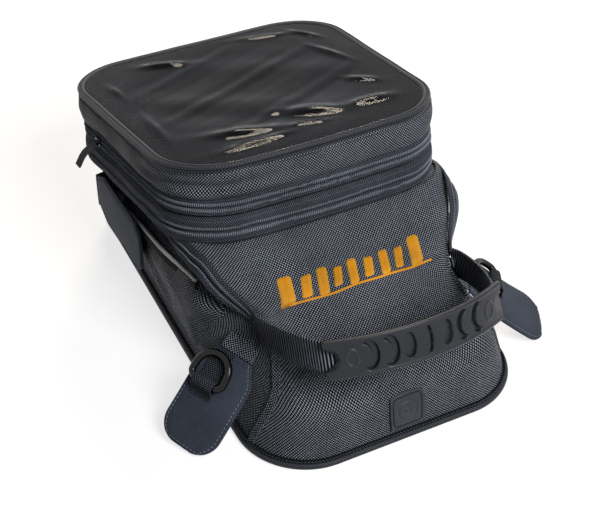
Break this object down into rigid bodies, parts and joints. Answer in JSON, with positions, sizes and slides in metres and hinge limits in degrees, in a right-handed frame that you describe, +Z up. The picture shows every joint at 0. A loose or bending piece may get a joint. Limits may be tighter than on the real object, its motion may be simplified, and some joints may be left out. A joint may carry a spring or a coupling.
{
  "type": "tank bag",
  "caption": "Wedge-shaped motorcycle tank bag with a hinged clear map lid, an expanding zipped collar, side pockets, a front carry handle and magnetic flaps.",
  "frame": {"origin": "centre of the base on the surface that it rests on", "axes": "-Y towards the handle end, +X to the right-hand side, +Z up"},
  "size_m": [0.3338, 0.4299, 0.1876],
  "materials": {
    "ballistic_nylon": "coarse black-blue ballistic nylon weave",
    "zip_tape": "fine woven zip tape over a concealed coil",
    "plain_nylon": "plain black nylon",
    "piping": "slate woven binding",
    "board": "black polyethylene board",
    "patch_rubber": "moulded matt rubber",
    "orange_thread": "satin-stitched orange thread",
    "reflective": "silver-grey reflective piping",
    "webbing": "cross-ribbed polyester webbing",
    "grip_rubber": "satin moulded rubber",
    "clear_vinyl": "clear soft vinyl sheet",
    "fleece": "dark brushed fleece",
    "leatherette": "smooth slate leatherette",
    "flap_lining": "soft black lining",
    "magnet": "nickel-plated magnet",
    "gloss_plastic": "glossy black moulding",
    "slider_metal": "black lacquered zip slider",
    "puller_rubber": "soft rubber puller"
  },
  "bodies": {
    "tub": {"base_panel": "ballistic_nylon", "base_piping": "piping", "base_board": "board", "front_panel": "ballistic_nylon", "rear_panel": "ballistic_nylon", "side_panel_left": "ballistic_nylon", "side_panel_right": "ballistic_nylon", "side_pocket_left": "ballistic_nylon", "side_pocket_right": "ballistic_nylon", "pocket_zip_left": "zip_tape", "pocket_zip_right": "zip_tape", "reflective_piping_left": "reflective", "reflective_piping_right": "reflective", "rim_flange": "ballistic_nylon", "expansion_zip_lower": "zip_tape", "patch_label": "patch_rubber", "embroidery": "orange_thread", "handle_anchor_left": "webbing", "handle_anchor_right": "webbing", "front_flap_anchor_left": "webbing", "front_flap_anchor_right": "webbing", "rear_flap_anchor_left": "webbing", "rear_flap_anchor_right": "webbing"},
    "collar": {"expansion_zip_upper": "zip_tape", "collar_binding": "plain_nylon", "main_zip_lower": "zip_tape", "expansion_gusset": "plain_nylon", "lid_hinge_tape": "plain_nylon"},
    "lid": {"main_zip_upper": "zip_tape", "lid_band": "ballistic_nylon", "lid_welt": "ballistic_nylon", "map_window": "clear_vinyl", "map_pocket_floor": "fleece", "lid_pull_tab": "webbing"},
    "main_slider": {"main_zip_slider": "slider_metal"},
    "main_puller": {"main_zip_puller": "webbing"},
    "expansion_slider": {"expansion_zip_slider": "slider_metal"},
    "expansion_puller": {"expansion_zip_puller": "puller_rubber"},
    "handle": {"handle_webbing": "webbing", "handle_grip": "grip_rubber"},
    "pocket_slider_left": {"pocket_zip_slider_left": "slider_metal"},
    "pocket_puller_left": {"pocket_zip_puller_left": "puller_rubber"},
    "pocket_slider_right": {"pocket_zip_slider_right": "slider_metal"},
    "pocket_puller_right": {"pocket_zip_puller_right": "puller_rubber"},
    "front_flap_left": {"front_flap_cover_left": "leatherette", "front_flap_backing_left": "flap_lining", "front_flap_magnets_left": "magnet", "d_ring_loop_left": "webbing"},
    "d_ring_left": {"d_ring_left": "gloss_plastic"},
    "rear_flap_left": {"rear_flap_cover_left": "leatherette", "rear_flap_backing_left": "flap_lining", "rear_flap_magnets_left": "magnet"},
    "front_flap_right": {"front_flap_cover_right": "leatherette", "front_flap_backing_right": "flap_lining", "front_flap_magnets_right": "magnet", "d_ring_loop_right": "webbing"},
    "d_ring_right": {"d_ring_right": "gloss_plastic"},
    "rear_flap_right": {"rear_flap_cover_right": "leatherette", "rear_flap_backing_right": "flap_lining", "rear_flap_magnets_right": "magnet"}
  },
  "joints": [
    {"name": "collar_lift", "type": "slide", "parent": "tub", "child": "collar", "axis": [0, 0.184, 0.9829], "range_m": [0, 0.05], "deforming": ["expansion_gusset"]},
    {"name": "lid_hinge", "type": "hinge", "parent": "collar", "child": "lid", "pos_m": [0, 0.20103, 0.10619], "axis": [-1, 0, 0], "range_deg": [0, 105]},
    {"name": "main_slider_travel", "type": "slide", "parent": "collar", "child": "main_slider", "axis": [0.0181, -0.9828, 0.1839], "range_m": [-0.024, 0.11]},
    {"name": "main_puller_swing", "type": "hinge", "parent": "main_slider", "child": "main_puller", "pos_m": [-0.12709, 0.12365, 0.12066], "axis": [-0.0181, 0.9828, -0.1839], "range_deg": [-4, 58]},
    {"name": "expansion_slider_travel", "type": "slide", "parent": "tub", "child": "expansion_slider", "axis": [0.0181, 0.9828, -0.1839], "range_m": [-0.012, 0.125]},
    {"name": "expansion_puller_swing", "type": "hinge", "parent": "expansion_slider", "child": "expansion_puller", "pos_m": [0.12144, 0.02449, 0.11837], "axis": [0, -0.184, -0.9829], "range_deg": [0, 120]},
    {"name": "pocket_slider_left_travel", "type": "slide", "parent": "tub", "child": "pocket_slider_left", "axis": [0.0471, -0.9822, 0.1816], "range_m": [0, 0.12]},
    {"name": "pocket_puller_left_swing", "type": "hinge", "parent": "pocket_slider_left", "child": "pocket_puller_left", "pos_m": [-0.11435, 0.10309, 0.08214], "axis": [-0.0088, 0.1837, 0.9829], "range_deg": [0, 15]},
    {"name": "pocket_slider_right_travel", "type": "slide", "parent": "tub", "child": "pocket_slider_right", "axis": [-0.0471, -0.9822, 0.1816], "range_m": [0, 0.12]},
    {"name": "pocket_puller_right_swing", "type": "hinge", "parent": "pocket_slider_right", "child": "pocket_puller_right", "pos_m": [0.11435, 0.10309, 0.08214], "axis": [-0.0088, -0.1837, -0.9829], "range_deg": [0, 15]},
    {"name": "handle_lift", "type": "hinge", "parent": "tub", "child": "handle", "pos_m": [0, -0.104, 0.08], "axis": [-1, 0, 0], "range_deg": [0, 75]},
    {"name": "front_flap_left_hinge", "type": "hinge", "parent": "tub", "child": "front_flap_left", "pos_m": [-0.104, -0.104, 0.0585], "axis": [-0.428, 0.898, 0.102], "range_deg": [-20, 95]},
    {"name": "d_ring_left_swing", "type": "hinge", "parent": "front_flap_left", "child": "d_ring_left", "pos_m": [-0.13179, -0.10666, 0.04371], "axis": [0.428, -0.898, -0.102], "range_deg": [0, 160]},
    {"name": "rear_flap_left_hinge", "type": "hinge", "parent": "tub", "child": "rear_flap_left", "pos_m": [-0.1252, 0.137, 0.06], "axis": [0, 0, -1], "range_deg": [0, 120]},
    {"name": "front_flap_right_hinge", "type": "hinge", "parent": "tub", "child": "front_flap_right", "pos_m": [0.104, -0.104, 0.0585], "axis": [-0.428, -0.898, -0.102], "range_deg": [-20, 95]},
    {"name": "d_ring_right_swing", "type": "hinge", "parent": "front_flap_right", "child": "d_ring_right", "pos_m": [0.13179, -0.10666, 0.04371], "axis": [0.428, 0.898, 0.102], "range_deg": [0, 160]},
    {"name": "rear_flap_right_hinge", "type": "hinge", "parent": "tub", "child": "rear_flap_right", "pos_m": [0.1252, 0.137, 0.06], "axis": [0, 0, 1], "range_deg": [0, 120]}
  ]
}
